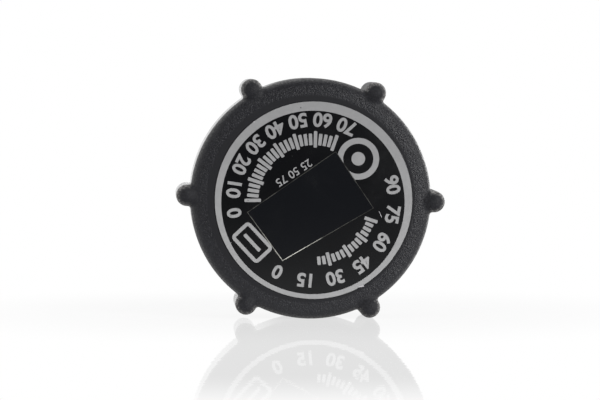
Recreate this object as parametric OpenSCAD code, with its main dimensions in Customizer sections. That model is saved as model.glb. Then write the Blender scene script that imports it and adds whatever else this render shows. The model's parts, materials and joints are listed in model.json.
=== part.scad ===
// Screw cap for a coolant expansion tank, with its pressure valve and vacuum valve.
// Every piece is drawn on a bench frame: axis up, open mouth at height 0, face on top.
// The whole cap is then laid over, so that it stands on its rim with the face along -Y
// and the mouth along +Y. The origin is the centre of the mouth. Sizes are in millimetres.

/* [Grip cap] */
// Diameter of the grip wall, without the lugs
cap_d = 60; // [58:0.5:70]
// Depth from the open rim to the face
cap_h = 24; // [23:0.5:32]
// Thickness of the grip wall
grip_wall = 2.2; // [1.6:0.1:2.5]
// Thickness of the roof behind the face
roof_t = 2.5; // [1.8:0.1:3.4]
// Rounding where the grip wall turns into the face
edge_r = 3; // [1.6:0.1:3.2]
// Fall of the face from the label out to the rounding, in degrees
face_fall = 12; // [4:1:16]
// Width of the level land around the label
land_w = 0.25; // [0.1:0.05:0.4]
// Bevel on the open rim's outer edge
rim_bevel = 0.5; // [0.2:0.1:1]

/* [Lugs] */
// Number of finger lugs
lug_count = 6; // [4:1:8]
// Diameter of a lug
lug_d = 5.4; // [4:0.2:6.4]
// How far a lug's centre stands outside the grip wall
lug_reach = 1.05; // [0.6:0.05:1.6]
// How far a lug's round nose stops below the face
lug_drop = 0.1; // [0:0.1:1.5]
// Radius of the hollow blend between a lug and the wall
lug_blend_r = 1; // [0.5:0.1:1.6]

/* [Label] */
// Distance from the outside of the grip wall to the edge of a centred label
label_margin = 5.15; // [5.1:0.05:8]
// Thickness of the label
label_t = 0.3; // [0.2:0.05:0.5]
// Room around the label in its pocket, when the label is centred
label_room = 1; // [0.95:0.05:1.2]
// How far off centre the label was stuck on
label_shift = 0.9; // [0:0.05:0.9]
// Direction in which the label is off centre, in degrees from +X
label_shift_turn = -26; // [-180:1:180]
// Width of the pocket's sloping edge
pocket_slope = 0.3; // [0.1:0.05:0.4]
// How far the label lies below the face
label_drop = 0.15; // [0:0.05:0.4]
// Length of the hand-cut patch stuck on the label
patch_l = 26.6; // [20:0.2:30]
// Width of the patch at its wide end
patch_wide = 17; // [12:0.2:20]
// Width of the patch at its narrow end
patch_narrow = 14.9; // [12:0.2:18]
// Thickness of the patch
patch_t = 0.12; // [0.08:0.02:0.3]
// Turn of the patch, in degrees
patch_turn = 32.4; // [0:0.2:60]
// Place of the patch across the label, from its centre
patch_x = -1.2; // [-3:0.1:3]
// Place of the patch up the label, from its centre
patch_y = -1.9; // [-3:0.1:3]

/* [Neck thread] */
// Diameter at the root of the thread
thread_d = 46; // [44:0.5:48]
// Height of the thread ridge above its root
thread_depth = 1.3; // [0.8:0.1:1.8]
// Rise of the thread in one turn
thread_pitch = 4; // [3:0.25:5]
// Number of turns of the thread
thread_turns = 2.2; // [1.2:0.1:3]
// Width of the ridge at its root
ridge_root_w = 2.4; // [1.8:0.1:2.7]
// Width of the ridge at its crest
ridge_crest_w = 1.1; // [0.6:0.1:1.6]
// Height of the ridge's first turn above the rim
thread_low = 5; // [5:0.25:7]
// Length of the plain mouth below the thread
mouth_l = 3; // [2:0.25:3.5]
// How much wider than the root the plain mouth is, on each side
mouth_relief = 0.4; // [0.2:0.1:0.8]
// Thickness of the threaded skirt
skirt_wall = 2.2; // [1.6:0.1:2.6]
// Number of webs between the two walls
web_count = 12; // [6:1:24]
// Thickness of a web
web_t = 1.2; // [0.8:0.1:2]
// How far the webs stop short of the rim
web_set_back = 2; // [1:0.5:6]

/* [Clips in the roof] */
// Number of clip fingers
clip_count = 6; // [3:1:8]
// Part of a turn that one finger takes, in degrees
clip_sweep = 34; // [16:1:40]
// Thickness of a finger
clip_wall = 1.6; // [1.2:0.1:2.2]
// Gap between the fingers and what turns inside them
clip_gap = 0.35; // [0.3:0.05:0.45]
// Height of a finger's hook
hook_h = 1.1; // [0.8:0.1:1.3]
// Height of the bearing ring on the roof
bearing_h = 0.6; // [0.4:0.1:1]
// End play of the hung valve housing, to either side
end_play = 0.3; // [0.25:0.05:0.4]

/* [Valve housing] */
// Thickness of the flange that sits on the neck
flange_t = 2; // [1.6:0.1:2.6]
// Gap between the flange and the thread's crest
flange_gap = 0.5; // [0.4:0.1:1]
// Height of the collar above the flange
collar_h = 3.1; // [3:0.1:4]
// Wall of the collar around the spring plate
collar_wall = 2.5; // [2:0.1:3.2]
// How far the collar's bead stands out
bead_reach = 0.9; // [0.7:0.05:1.2]
// Height of the bead
bead_h = 1; // [0.8:0.1:1.3]
// Diameter of the spigot that goes into the neck
spigot_d = 31.2; // [30.4:0.1:33]
// Length of the spigot below the flange
spigot_l = 11.5; // [11.2:0.1:12.4]
// Lead-in bevel at the spigot's end
spigot_bevel = 0.6; // [0.3:0.1:1]
// Distance from the flange down to the ring's groove
groove_drop = 2.2; // [1.2:0.1:3]
// Wall left between the groove and the chamber
groove_wall = 1.35; // [1:0.05:1.6]
// Thickness of the floor
floor_t = 2; // [1.4:0.1:2.4]
// Diameter of the opening in the floor
port_d = 15; // [13:0.2:15.8]
// Width of the seat lip around the opening
seat_w = 1; // [0.8:0.1:1.2]
// Height of the seat lip
seat_h = 1; // [0.6:0.1:1.4]
// Number of ribs that guide the pressure plate
guide_count = 6; // [3:1:9]
// Thickness of a guide rib
guide_t = 1.2; // [0.8:0.1:2]
// How far the guide ribs rise above the pressure plate
guide_rise = 1.7; // [1:0.1:3]

/* [Neck ring] */
// Thickness of the sealing ring
ring_t = 2.6; // [2.2:0.1:3]
// How far the ring stands proud of the spigot
ring_proud = 0.75; // [0.4:0.05:0.8]
// Gap beside and behind the ring in its groove
ring_gap = 0.1; // [0.05:0.05:0.2]

/* [Spring plate] */
// Thickness of the spring plate
plate_t = 1.6; // [1.2:0.1:1.8]
// Gap around the spring plate
plate_gap = 0.2; // [0.1:0.05:0.3]
// Height of the lip that the spring plate snaps under
snap_h = 0.5; // [0.3:0.1:0.7]
// How far the snap lip reaches over the spring plate
snap_reach = 0.4; // [0.3:0.05:0.5]
// Width of the ledge that the spring plate rests on
ledge_w = 0.6; // [0.5:0.1:1]
// Number of vent holes
vent_count = 6; // [3:1:10]
// Diameter of a vent hole
vent_d = 2.2; // [1.4:0.1:2.6]
// Diameter of the hole in the middle
middle_vent_d = 5; // [3:0.2:8]

/* [Pressure valve] */
// Diameter of the pressure plate
disc_d = 20.6; // [20:0.1:21.4]
// Thickness of the pressure plate
disc_t = 1.2; // [0.8:0.1:1.6]
// Gap between the pressure plate and its guide ribs
guide_gap = 0.3; // [0.3:0.05:0.5]
// Thickness of the plate's turned-down edge
cup_wall = 0.6; // [0.4:0.1:0.8]
// Depth of the turned-down edge
cup_h = 0.8; // [0.5:0.1:1]
// Height of the plate's spring collar
pilot_h = 1.8; // [1.2:0.1:2.4]
// Wall of the spring collars
pilot_wall = 0.7; // [0.5:0.1:1]
// Gap between the spring and its collars
pilot_gap = 0.4; // [0.3:0.05:0.6]
// Thickness of the rubber seal
seal_t = 1.6; // [1.4:0.1:2]
// Mean diameter of the pressure spring
spring_d = 16.8; // [16:0.1:17.6]
// Thickness of the pressure spring's wire
wire_t = 1.2; // [0.9:0.05:1.3]
// Number of coils of the pressure spring
coils = 3; // [2.5:0.25:3.5]
// How far the pressure valve can lift
lift = 2; // [1:0.1:2.4]

/* [Vacuum valve] */
// Diameter of the vacuum disc
vacuum_d = 11.6; // [10.4:0.1:12]
// Thickness of the vacuum disc
vacuum_t = 0.5; // [0.4:0.05:0.8]
// Height of the vacuum disc's sealing rim
vacuum_rim_h = 1.3; // [1.2:0.05:1.6]
// Width of the sealing rim
vacuum_rim_w = 0.8; // [0.5:0.1:1]
// Diameter of the stem
stem_d = 2.4; // [2:0.1:2.6]
// Height of the stem's head
stem_head_h = 0.6; // [0.4:0.05:0.8]
// How far the stem's head and its riveted end stand out
stem_head_reach = 0.8; // [0.5:0.1:1]
// Gap around the stem in the eyelet, where air passes
stem_gap = 0.4; // [0.3:0.05:0.6]
// Wall of the eyelet
eyelet_wall = 0.6; // [0.4:0.05:0.8]
// Thickness of the eyelet's flanges
eyelet_t = 0.4; // [0.3:0.05:0.6]
// Thickness of the washer under the rubber seal
washer_t = 0.4; // [0.3:0.05:0.5]
// How far the washer reaches out from the eyelet
washer_reach = 1.7; // [1.2:0.1:1.9]
// Gap between pieces that are fixed on one another
fixed_gap = 0.05; // [0.02:0.01:0.1]
// Height of the vacuum spring
vacuum_spring_h = 3.3; // [3:0.1:4]
// Thickness of the vacuum spring's wire
vacuum_wire_t = 0.4; // [0.3:0.05:0.45]
// Number of coils of the vacuum spring
vacuum_coils = 2.5; // [2:0.25:2.75]
// Gap between the vacuum spring and the eyelet
vacuum_spring_gap = 0.4; // [0.3:0.05:0.6]
// Thickness of the keeper on the stem
keeper_t = 0.6; // [0.4:0.05:0.8]
// How far the keeper reaches past the vacuum spring
keeper_reach = 0.4; // [0.2:0.05:0.8]
// How far the vacuum valve can open
drop = 1.5; // [0.8:0.1:1.8]

/* [Hidden] */
$fn = 96;

// How far one solid reaches into another that it is moulded with
sink = 0.3;
// Room between a stop and the piece that it stops, at the end of the travel
stop_room = 0.3;
// Rings in one turn of a coil, so many that its flats clear the collars, and sides of its wire
coil_rings = 16;
coil_sides = 6;
// Steps in one turn of the thread, and the steps in which its ends fade out
thread_steps = 36;
fade_steps = 4;
// Steps in the hollow blend beside a lug
blend_steps = 6;

// Grip cap
cap_r = cap_d / 2;
grip_in_r = cap_r - grip_wall;
roof_z = cap_h - roof_t;
label_r = cap_r - label_margin;
pocket_r = label_r + label_room;
pocket_floor_z = cap_h - label_t - label_drop;
pocket_top_r = pocket_r + pocket_slope;
land_r = pocket_top_r + land_w;
edge_mid_r = cap_r - edge_r;
fall_end_r = edge_mid_r + edge_r * sin(face_fall);
fall_end_z = cap_h - (fall_end_r - land_r) * tan(face_fall);
edge_mid_z = fall_end_z - edge_r * cos(face_fall);

// Lugs, turned so that the cap rests on its wall and on one lug
lug_r = lug_d / 2;
lug_place_r = cap_r + lug_reach;
nose_z = cap_h - lug_drop - lug_r;
rest_angle = min(180 / lug_count, acos((cap_r - lug_r) / lug_place_r));
first_lug = rest_angle - 90;

// Thread and skirt
root_r = thread_d / 2;
crest_r = root_r - thread_depth;
mouth_r = root_r + mouth_relief;
skirt_r = root_r + skirt_wall;
mouth_top_z = mouth_l + mouth_relief;

// Radii of the valve housing, from the ring's groove inwards and outwards
spigot_r = spigot_d / 2;
groove_r = spigot_r + ring_proud - ring_t;
groove_w = ring_t + 2 * ring_gap;
chamber_r = groove_r - groove_wall;
recess_r = chamber_r + ledge_w;
collar_r = recess_r + collar_wall;
bead_r = collar_r + bead_reach;
flange_r = crest_r - flange_gap;
port_r = port_d / 2;
seat_r = port_r + seat_w;

// Heights of the valve housing, which hangs from the roof
housing_top_z = roof_z - bearing_h - end_play;
bead_low_z = housing_top_z - bead_h;
hook_top_z = bead_low_z - end_play;
hook_low_z = hook_top_z - hook_h;
flange_top_z = housing_top_z - collar_h;
flange_low_z = flange_top_z - flange_t;
groove_top_z = flange_low_z - groove_drop;
groove_low_z = groove_top_z - groove_w;
spigot_end_z = flange_low_z - spigot_l;
floor_z = spigot_end_z + floor_t;
seat_z = floor_z + seat_h;
plate_top_z = housing_top_z - snap_h;
plate_low_z = plate_top_z - plate_t;

// Clip fingers and bearing ring
finger_in_r = bead_r + clip_gap;
finger_out_r = finger_in_r + clip_wall;
hook_r = collar_r + clip_gap;
bearing_in_r = recess_r + clip_gap;
bearing_out_r = collar_r;

// Pressure valve, which sits on the seat lip
disc_r = disc_d / 2;
cup_r = disc_r - cup_wall;
seal_r = cup_r - fixed_gap;
disc_low_z = seat_z + seal_t;
disc_top_z = disc_low_z + disc_t;
spring_h = plate_low_z - disc_top_z;
spring_r = spring_d / 2;
pilot_r = spring_r - wire_t / 2 - pilot_gap;
pilot_in_r = pilot_r - pilot_wall;
plate_pilot_h = spring_h - pilot_h - lift - stop_room;
guide_in_r = disc_r + guide_gap;
vent_place_r = (spring_r + wire_t / 2 + chamber_r) / 2;

// Eyelet, washer and vacuum valve
stem_r = stem_d / 2;
eyelet_in_r = stem_r + stem_gap;
eyelet_r = eyelet_in_r + eyelet_wall;
seal_bore_r = eyelet_r + fixed_gap;
washer_low_z = seat_z - washer_t;
washer_r = eyelet_r + washer_reach;
vacuum_spring_r = eyelet_r + vacuum_spring_gap + vacuum_wire_t / 2;
keeper_r = vacuum_spring_r + vacuum_wire_t / 2 + keeper_reach;
vacuum_spring_low_z = disc_top_z + eyelet_t;
keeper_low_z = vacuum_spring_low_z + vacuum_spring_h;
keeper_top_z = keeper_low_z + keeper_t;
eyelet_top_z = keeper_low_z - drop - stop_room;
vacuum_r = vacuum_d / 2;
vacuum_low_z = seat_z - vacuum_rim_h - vacuum_t;

// Lays a piece over from the bench frame, so that the cap stands on its rim
module laid() {
  rotate([90, 0, 0]) children();
}

// Turns a closed outline of radius and height points about the axis
module turned(outline) {
  rotate_extrude() polygon(outline);
}

// A plain ring between two radii and two heights
module ring(in_r, out_r, low, high) {
  turned([[in_r, low], [out_r, low], [out_r, high], [in_r, high]]);
}

// Faces of a closed tube that joins rings of equal numbers of points
function tube_faces(rings, sides) = concat(
  [for (i = [0:rings - 2], k = [0:sides - 1])
    [i * sides + k, i * sides + (k + 1) % sides, (i + 1) * sides + (k + 1) % sides]],
  [for (i = [0:rings - 2], k = [0:sides - 1])
    [i * sides + k, (i + 1) * sides + (k + 1) % sides, (i + 1) * sides + k]],
  [for (k = [1:sides - 2]) [0, k + 1, k]],
  [for (k = [1:sides - 2]) [(rings - 1) * sides, (rings - 1) * sides + k, (rings - 1) * sides + k + 1]]
);

// Middle line of a coil: a straight end square to its seat, the coils, a straight end
function coil_line(r, wire, h, turns, rings) = concat(
  [[r, 0, 0]],
  [for (i = [0:ceil(turns * rings)])
    let (part = min(1, i / (turns * rings)), a = 360 * turns * part)
    [r * cos(a), r * sin(a), wire + (h - 2 * wire) * part]],
  [[r * cos(360 * turns), r * sin(360 * turns), h]]
);

// Direction of a line of points at point i
function heading(line, i) =
  let (v = line[min(i + 1, len(line) - 1)] - line[max(i - 1, 0)]) v / norm(v);

// Points of a coil's wire, a ring at each point of its middle line
function coil_points(line, wire) = [
  for (i = [0:len(line) - 1])
    let (out = [line[i][0], line[i][1], 0] / norm([line[i][0], line[i][1]]),
      side = cross(out, heading(line, i)))
    for (k = [0:coil_sides - 1])
      line[i] + wire / 2 * (cos(360 * k / coil_sides) * out + sin(360 * k / coil_sides) * side)
];

// Least gap between the coils of a spring, measured on three times as many points
function coil_gap(r, wire, h, turns) =
  let (line = coil_line(r, wire, h, turns, 3 * coil_rings), apart = 2 * coil_rings)
  min([for (i = [0:len(line) - 1 - apart], j = [i + apart:len(line) - 1])
    norm(line[i] - line[j])]) - wire;

module coil_spring(r, wire, h, turns) {
  line = coil_line(r, wire, h, turns, coil_rings);
  polyhedron(coil_points(line, wire), tube_faces(len(line), coil_sides));
}

echo(pressure_spring_gap = coil_gap(spring_r, wire_t, spring_h, coils));
echo(vacuum_spring_gap = coil_gap(vacuum_spring_r, vacuum_wire_t, vacuum_spring_h, vacuum_coils));

// Outline of the grip cap: both walls, the roof, the bearing ring and the label's pocket
module cap_outline() {
  polygon([
    [0, roof_z], [bearing_in_r, roof_z],
    [bearing_in_r, roof_z - bearing_h], [bearing_out_r, roof_z - bearing_h],
    [bearing_out_r, roof_z], [root_r, roof_z],
    [root_r, mouth_top_z], [mouth_r, mouth_l], [mouth_r, 0],
    [skirt_r, 0], [skirt_r, roof_z], [grip_in_r, roof_z], [grip_in_r, 0],
    [cap_r - rim_bevel, 0], [cap_r, rim_bevel], [cap_r, edge_mid_z],
    [edge_mid_r, edge_mid_z], [fall_end_r, fall_end_z], [land_r, cap_h],
    [pocket_top_r, cap_h], [pocket_r, pocket_floor_z], [0, pocket_floor_z]
  ]);
  translate([edge_mid_r, edge_mid_z]) circle(edge_r);
}

// A round lug with a ball nose
module lug() {
  rotate_extrude() {
    polygon([[0, 0], [lug_r - rim_bevel, 0], [lug_r, rim_bevel], [lug_r, nose_z], [0, nose_z]]);
    translate([0, nose_z]) intersection() {
      circle(lug_r);
      square(lug_r);
    }
  }
}

// The hollow blend on one side of a lug at angle 0, seen along the axis
module lug_blend() {
  near = cap_r + lug_blend_r;
  far = lug_r + lug_blend_r;
  swing = acos((lug_place_r ^ 2 + near ^ 2 - far ^ 2) / (2 * lug_place_r * near));
  mid = near * [cos(swing), sin(swing)];
  from = swing + 180;
  to = atan2(-mid[1], lug_place_r - mid[0]) + 360;
  polygon(concat(
    [(cap_r - sink) * [cos(swing), sin(swing)]],
    [for (i = [0:blend_steps]) let (a = from + (to - from) * i / blend_steps)
      mid + lug_blend_r * [cos(a), sin(a)]],
    [[lug_place_r, 0], [cap_r - sink, 0]]
  ));
}

// The blends run out into the rounded edge of the wall along a slope
module lug_blends() {
  intersection() {
    for (k = [0:lug_count - 1], side = [0, 1])
      rotate(first_lug + 360 * k / lug_count) mirror([0, side, 0])
        linear_extrude(cap_h) lug_blend();
    turned([
      [0, 0], [lug_place_r, 0], [lug_place_r, edge_mid_z],
      [fall_end_r, fall_end_z], [0, fall_end_z]
    ]);
  }
}

// The thread ridge, a right-hand one, which fades into the wall at both ends
module thread_ridge() {
  rings = ceil(thread_turns * thread_steps);
  points = [
    for (i = [0:rings])
      let (a = 360 * i / thread_steps, z = thread_low + thread_pitch * i / thread_steps,
        grown = min(1, i / fade_steps, (rings - i) / fade_steps),
        top_r = root_r + sink / 3 - (sink / 3 + thread_depth) * grown)
      for (p = [[root_r + sink, ridge_root_w / 2], [top_r, ridge_crest_w / 2],
        [top_r, -ridge_crest_w / 2], [root_r + sink, -ridge_root_w / 2]])
        [p[0] * cos(a), p[0] * sin(a), z + p[1]]
  ];
  polyhedron(points, tube_faces(rings + 1, 4));
}

module clip_finger() {
  rotate(-clip_sweep / 2) rotate_extrude(angle = clip_sweep) polygon([
    [finger_in_r, roof_z + sink], [finger_out_r, roof_z + sink], [finger_out_r, hook_low_z],
    [finger_in_r, hook_low_z], [hook_r, hook_low_z + hook_h / 2], [hook_r, hook_top_z],
    [finger_in_r, hook_top_z]
  ]);
}

module grip_cap() {
  color([0.17, 0.17, 0.18]) laid() {
    rotate_extrude() cap_outline();
    for (k = [0:lug_count - 1])
      rotate(first_lug + 360 * k / lug_count) translate([lug_place_r, 0]) lug();
    lug_blends();
    for (k = [0:web_count - 1])
      rotate(first_lug + 360 * k / web_count)
        translate([skirt_r - sink, -web_t / 2, web_set_back])
          cube([grip_in_r - skirt_r + 2 * sink, web_t, roof_z - web_set_back + sink]);
    for (k = [0:clip_count - 1]) rotate(first_lug + 360 * k / clip_count) clip_finger();
    thread_ridge();
  }
}

// Puts a piece where the label was stuck on, a little off centre
module on_label() {
  translate([label_shift * cos(label_shift_turn), label_shift * sin(label_shift_turn),
    pocket_floor_z]) children();
}

module label_disc() {
  color([0.07, 0.07, 0.08]) laid() on_label() cylinder(r = label_r, h = label_t);
}

module cover_patch() {
  color([0.05, 0.055, 0.07]) laid()
    on_label() translate([patch_x, patch_y, label_t]) rotate(patch_turn)
      linear_extrude(patch_t) polygon([
        [-patch_l / 2, -patch_narrow / 2], [patch_l / 2, -patch_wide / 2],
        [patch_l / 2, patch_wide / 2], [-patch_l / 2, patch_narrow / 2]
      ]);
}

module valve_housing() {
  color([0.26, 0.26, 0.27]) laid() {
    turned([
      [port_r, spigot_end_z], [spigot_r - spigot_bevel, spigot_end_z],
      [spigot_r, spigot_end_z + spigot_bevel], [spigot_r, groove_low_z],
      [groove_r, groove_low_z], [groove_r, groove_top_z], [spigot_r, groove_top_z],
      [spigot_r, flange_low_z], [flange_r, flange_low_z], [flange_r, flange_top_z],
      [collar_r, flange_top_z], [collar_r, bead_low_z], [bead_r, bead_low_z],
      [bead_r, bead_low_z + bead_h / 2], [collar_r, housing_top_z],
      [recess_r - snap_reach, housing_top_z], [recess_r - snap_reach, plate_top_z],
      [recess_r, plate_top_z], [recess_r, plate_low_z], [chamber_r, plate_low_z],
      [chamber_r, floor_z], [seat_r, floor_z], [seat_r, seat_z], [port_r, seat_z]
    ]);
    for (k = [0:guide_count - 1])
      rotate(360 * k / guide_count) translate([guide_in_r, -guide_t / 2, floor_z - sink])
        cube([chamber_r - guide_in_r + sink, guide_t, disc_top_z + guide_rise - floor_z + sink]);
  }
}

module neck_ring() {
  color([0.1, 0.1, 0.1]) laid()
    translate([0, 0, (groove_low_z + groove_top_z) / 2]) rotate_extrude()
      translate([groove_r + fixed_gap + ring_t / 2, 0]) circle(ring_t / 2);
}

module spring_plate() {
  color([0.32, 0.32, 0.33]) laid() difference() {
    union() {
      ring(middle_vent_d / 2, recess_r - plate_gap, plate_low_z, plate_top_z);
      ring(pilot_in_r, pilot_r, plate_low_z - plate_pilot_h, plate_low_z + sink);
    }
    for (k = [0:vent_count - 1])
      rotate(360 * k / vent_count) translate([vent_place_r, 0, plate_low_z - sink])
        cylinder(d = vent_d, h = plate_t + 2 * sink);
  }
}

module pressure_spring() {
  color([0.72, 0.73, 0.75]) laid() translate([0, 0, disc_top_z])
    coil_spring(spring_r, wire_t, spring_h, coils);
}

module pressure_plate() {
  color([0.72, 0.58, 0.3]) laid() turned([
    [seal_bore_r, disc_low_z], [cup_r, disc_low_z], [cup_r, disc_low_z - cup_h],
    [disc_r, disc_low_z - cup_h], [disc_r, disc_top_z],
    [pilot_r, disc_top_z], [pilot_r, disc_top_z + pilot_h],
    [pilot_in_r, disc_top_z + pilot_h], [pilot_in_r, disc_top_z], [seal_bore_r, disc_top_z]
  ]);
}

module pressure_seal() {
  color([0.08, 0.08, 0.08]) laid() ring(seal_bore_r, seal_r, seat_z, disc_low_z);
}

module seal_washer() {
  color([0.7, 0.56, 0.28]) laid() ring(seal_bore_r, washer_r, washer_low_z, seat_z);
}

module seal_eyelet() {
  color([0.76, 0.62, 0.34]) laid() turned([
    [eyelet_in_r, washer_low_z - eyelet_t], [eyelet_r + washer_reach / 2, washer_low_z - eyelet_t],
    [eyelet_r + washer_reach / 2, washer_low_z], [eyelet_r, washer_low_z],
    [eyelet_r, disc_top_z], [keeper_r, disc_top_z],
    [keeper_r, vacuum_spring_low_z], [eyelet_r, vacuum_spring_low_z],
    [eyelet_r, eyelet_top_z], [eyelet_in_r, eyelet_top_z]
  ]);
}

module vacuum_disc() {
  color([0.74, 0.6, 0.32]) laid() turned([
    [stem_r + fixed_gap, vacuum_low_z], [vacuum_r, vacuum_low_z], [vacuum_r, seat_z],
    [vacuum_r - vacuum_rim_w, seat_z], [vacuum_r - vacuum_rim_w, vacuum_low_z + vacuum_t],
    [stem_r + fixed_gap, vacuum_low_z + vacuum_t]
  ]);
}

module vacuum_stem() {
  color([0.78, 0.66, 0.4]) laid() turned([
    [0, vacuum_low_z - stem_head_h], [stem_r + stem_head_reach, vacuum_low_z - stem_head_h],
    [stem_r + stem_head_reach, vacuum_low_z], [stem_r, vacuum_low_z],
    [stem_r, keeper_top_z], [stem_r + stem_head_reach, keeper_top_z],
    [stem_r, keeper_top_z + stem_head_h], [0, keeper_top_z + stem_head_h]
  ]);
}

module vacuum_spring() {
  color([0.75, 0.76, 0.78]) laid() translate([0, 0, vacuum_spring_low_z])
    coil_spring(vacuum_spring_r, vacuum_wire_t, vacuum_spring_h, vacuum_coils);
}

module vacuum_keeper() {
  color([0.7, 0.57, 0.3]) laid() ring(stem_r + fixed_gap, keeper_r, keeper_low_z, keeper_top_z);
}

grip_cap();
label_disc();
cover_patch();
valve_housing();
neck_ring();
spring_plate();
pressure_spring();
pressure_plate();
pressure_seal();
seal_washer();
seal_eyelet();
vacuum_disc();
vacuum_stem();
vacuum_spring();
vacuum_keeper();
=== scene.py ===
# Looks for the expansion tank cap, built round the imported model.
# Lengths are in metres, or in millimetres where a note says so, and angles are in degrees.
import json
import math
import random

import bpy
from mathutils import Matrix, Vector


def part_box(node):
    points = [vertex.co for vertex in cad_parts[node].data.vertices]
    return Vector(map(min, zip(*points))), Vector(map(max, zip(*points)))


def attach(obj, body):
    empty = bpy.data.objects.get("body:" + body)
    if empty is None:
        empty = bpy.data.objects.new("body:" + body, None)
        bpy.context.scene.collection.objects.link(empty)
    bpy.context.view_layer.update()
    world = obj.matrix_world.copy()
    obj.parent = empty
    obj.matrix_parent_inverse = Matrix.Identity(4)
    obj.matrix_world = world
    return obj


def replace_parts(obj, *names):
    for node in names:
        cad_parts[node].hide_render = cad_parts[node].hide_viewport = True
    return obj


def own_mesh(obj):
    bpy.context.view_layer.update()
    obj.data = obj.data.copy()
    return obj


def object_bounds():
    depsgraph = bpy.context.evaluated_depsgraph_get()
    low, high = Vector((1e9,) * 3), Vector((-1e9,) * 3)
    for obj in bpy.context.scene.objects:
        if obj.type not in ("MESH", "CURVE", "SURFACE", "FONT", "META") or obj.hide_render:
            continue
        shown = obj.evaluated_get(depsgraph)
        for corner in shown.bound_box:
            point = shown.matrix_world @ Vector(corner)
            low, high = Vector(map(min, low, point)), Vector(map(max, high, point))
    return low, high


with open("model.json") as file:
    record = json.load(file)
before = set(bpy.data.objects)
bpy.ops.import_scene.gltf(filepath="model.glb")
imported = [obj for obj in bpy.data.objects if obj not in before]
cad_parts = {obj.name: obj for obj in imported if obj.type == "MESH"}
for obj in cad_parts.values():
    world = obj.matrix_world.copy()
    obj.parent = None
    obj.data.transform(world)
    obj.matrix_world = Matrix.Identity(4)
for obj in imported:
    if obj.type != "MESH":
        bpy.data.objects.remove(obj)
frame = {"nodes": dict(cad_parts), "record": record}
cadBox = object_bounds()
mm = 0.001
touching = 1e-6  # points that lie closer than this are merged
facing = (math.pi / 2, 0, 0)  # lays a flat piece's front towards -Y, with its up along +Z
print("frame loaded:", len(frame["nodes"]), "nodes")


# Small tools

def take(*objs):
    bpy.ops.object.select_all(action="DESELECT")
    for obj in objs:
        obj.select_set(True)
    bpy.context.view_layer.objects.active = objs[0]


def newest(name):
    obj = bpy.context.active_object
    obj.name = name
    obj.data.name = name
    return obj


def settle(obj):
    take(obj)
    bpy.ops.object.transform_apply(location=True, rotation=True, scale=True)
    return obj


def modify(obj, kind, **values):
    take(obj)
    modifier = obj.modifiers.new(kind.lower(), kind)
    for key, value in values.items():
        setattr(modifier, key, value)
    bpy.ops.object.modifier_apply(modifier=modifier.name)
    return obj


def editAll(obj):
    take(obj)
    bpy.ops.object.mode_set(mode="EDIT")
    bpy.ops.mesh.select_all(action="SELECT")


def endEdit():
    bpy.ops.object.mode_set(mode="OBJECT")


def outward(obj):
    editAll(obj)
    bpy.ops.mesh.remove_doubles(threshold=touching)
    bpy.ops.mesh.normals_make_consistent(inside=False)
    endEdit()
    return obj


def smooth(obj, angle=32):
    take(obj)
    bpy.ops.object.shade_smooth_by_angle(angle=math.radians(angle))
    return obj


def joined(name, objs):
    take(*objs)
    bpy.ops.object.join()
    return newest(name)


def dress(obj, material, body=None):
    obj.data.materials.clear()
    obj.data.materials.append(material)
    if body:
        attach(obj, body)
    return obj


# Node tools

def put(tree, kind, inputs=None, **settings):
    node = tree.nodes.new(kind)
    for key, value in settings.items():
        setattr(node, key, value)
    for key, value in (inputs or {}).items():
        node.inputs[key].default_value = value
    return node


def wire(tree, value, inputSocket):  # wires an output, or sets a number or a colour
    if isinstance(value, bpy.types.NodeSocket):
        tree.links.new(value, inputSocket)
    elif isinstance(value, tuple):
        inputSocket.default_value = (*value, 1)
    else:
        inputSocket.default_value = value


def math2(tree, operation, first, second=0.0, clamp=False):
    node = put(tree, "ShaderNodeMath", operation=operation, use_clamp=clamp)
    wire(tree, first, node.inputs[0])
    wire(tree, second, node.inputs[1])
    return node.outputs[0]


def times(tree, *factors):
    product = factors[0]
    for factor in factors[1:]:
        product = math2(tree, "MULTIPLY", product, factor)
    return product


def stretch(tree, value, low, high, toLow=0.0, toHigh=1.0):
    node = put(tree, "ShaderNodeMapRange", interpolation_type="SMOOTHSTEP")
    for given, socket in zip((value, low, high, toLow, toHigh), node.inputs):
        wire(tree, given, socket)
    return node.outputs["Result"]


def blended(tree, factor, first, second):
    node = put(tree, "ShaderNodeMix", data_type="RGBA")
    wire(tree, factor, node.inputs["Factor"])
    wire(tree, first, node.inputs[6])
    wire(tree, second, node.inputs[7])
    return node.outputs[2]


def partsOf(tree, place):
    node = put(tree, "ShaderNodeSeparateXYZ")
    wire(tree, place, node.inputs[0])
    return node.outputs


def lengthOf(tree, vector):
    node = put(tree, "ShaderNodeVectorMath", operation="LENGTH")
    wire(tree, vector, node.inputs[0])
    return node.outputs["Value"]


def flatLength(tree, first, second):
    flat = put(tree, "ShaderNodeCombineXYZ")
    wire(tree, first, flat.inputs[0])
    wire(tree, second, flat.inputs[1])
    return lengthOf(tree, flat.outputs[0])


def axisRadius(tree, place):
    parts = partsOf(tree, place)
    return flatLength(tree, parts["X"], parts["Z"]), parts


def noise(tree, place, scale, detail=2.0, output="Fac", **inputs):
    node = put(tree, "ShaderNodeTexNoise", inputs=dict(Detail=detail, **inputs))
    wire(tree, place, node.inputs["Vector"])
    wire(tree, scale, node.inputs["Scale"])
    return node.outputs[output]


def newGroup(name, outputs, **numbers):  # each group takes a place as its Vector, and numbers
    group = bpy.data.node_groups.new(name, "ShaderNodeTree")
    group.interface.new_socket("Vector", in_out="INPUT", socket_type="NodeSocketVector")
    for label, value in numbers.items():
        socket = group.interface.new_socket(label, in_out="INPUT", socket_type="NodeSocketFloat")
        socket.default_value = value
    for label in outputs:
        group.interface.new_socket(label, in_out="OUTPUT", socket_type="NodeSocketFloat")
    return group, put(group, "NodeGroupInput").outputs, put(group, "NodeGroupOutput").inputs


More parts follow.
